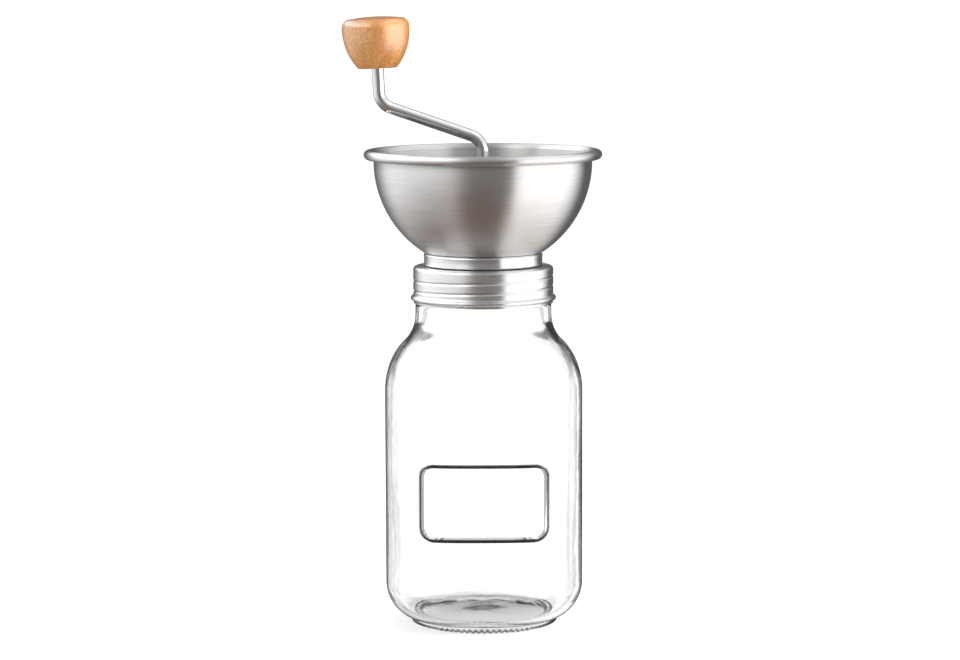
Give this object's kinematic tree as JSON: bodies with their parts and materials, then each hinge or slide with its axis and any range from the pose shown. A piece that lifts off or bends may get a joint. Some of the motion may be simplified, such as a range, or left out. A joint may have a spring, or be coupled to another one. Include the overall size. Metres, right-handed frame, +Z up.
{
  "type": "hand crank coffee grinder",
  "caption": "Hand crank coffee grinder: steel bowl hopper over a conical burr mill in a screw lid, on a square glass jar that catches the grounds.",
  "frame": {"origin": "on the jar's vertical axis, in the plane of the ring that the jar stands on", "axes": "+Z up along the jar and the drive shaft, -X towards the crank's knob at rest, -Y out of the face with the label frame"},
  "size_m": [0.1315, 0.121, 0.3096],
  "materials": {
    "jar_glass": "clear pressed glass",
    "silicone_seal": "red-brown silicone",
    "dark_seal": "black silicone",
    "lid_steel": "stainless, turned satin",
    "bowl_steel": "stainless, spun satin",
    "collar_steel": "stainless, fine turned satin",
    "rod_steel": "stainless rod, polished",
    "shaft_steel": "stainless, machined",
    "fastener_steel": "stainless",
    "spring_steel": "spring wire",
    "clip_steel": "blackened spring steel",
    "black_moulding": "glass-filled nylon, fine texture",
    "bush_bronze": "sintered bronze",
    "bush_plastic": "acetal",
    "burr_ceramic": "sintered, unglazed",
    "beech": "turned beech, satin lacquer"
  },
  "bodies": {
    "jar": {"jar": "jar_glass"},
    "gasket": {"lid_gasket": "silicone_seal"},
    "head": {"screw_lid": "lid_steel", "collar_seal": "dark_seal", "collar_ring": "collar_steel", "hopper_bowl": "bowl_steel", "burr_housing": "black_moulding", "bearing_spider": "black_moulding", "upper_bush": "bush_bronze", "lower_bush": "bush_bronze", "clamp_screws": "fastener_steel", "outer_burr": "burr_ceramic", "retaining_ring": "black_moulding", "ring_screws": "fastener_steel"},
    "shaft": {"drive_shaft": "shaft_steel", "shaft_clip": "clip_steel", "thrust_washer": "fastener_steel", "spring_washer": "fastener_steel"},
    "burr": {"inner_burr": "burr_ceramic", "burr_carrier": "black_moulding", "burr_spring": "spring_steel"},
    "nut": {"adjusting_nut": "black_moulding"},
    "crank": {"crank_arm": "rod_steel", "crank_socket": "shaft_steel", "knob_clip": "clip_steel"},
    "knob": {"knob": "beech", "knob_bush": "bush_plastic"}
  },
  "joints": [
    {"name": "head_rise", "type": "slide", "parent": "jar", "child": "gasket", "axis": [0, 0, 1], "range_m": [0, 0.00635]},
    {"name": "head_unscrew", "type": "hinge", "parent": "gasket", "child": "head", "pos_m": [0, 0, 0.18], "axis": [0, 0, 1], "range_deg": [0, 450]},
    {"name": "crank_turn", "type": "hinge", "parent": "head", "child": "shaft", "pos_m": [0, 0, 0.195], "axis": [0, 0, 1], "continuous": true},
    {"name": "burr_gap", "type": "slide", "parent": "shaft", "child": "burr", "axis": [0, 0, 1], "range_m": [-0.0012, 0], "deforming": ["burr_spring"]},
    {"name": "grind_adjust", "type": "hinge", "parent": "burr", "child": "nut", "pos_m": [0, 0, 0.1635], "axis": [0, 0, 1], "range_deg": [-540, 0]},
    {"name": "crank_lift", "type": "slide", "parent": "shaft", "child": "crank", "axis": [0, 0, 1], "range_m": [0, 0.016]},
    {"name": "knob_spin", "type": "hinge", "parent": "crank", "child": "knob", "pos_m": [-0.05303, 0, 0.28349], "axis": [-0.0454, 0, 0.999], "continuous": true}
  ],
  "couplings": [
    {"joint": "head_rise", "follows": "head_unscrew", "m_per_rad": 0.00080851},
    {"joint": "grind_adjust", "follows": "burr_gap", "rad_per_m": 7854}
  ]
}
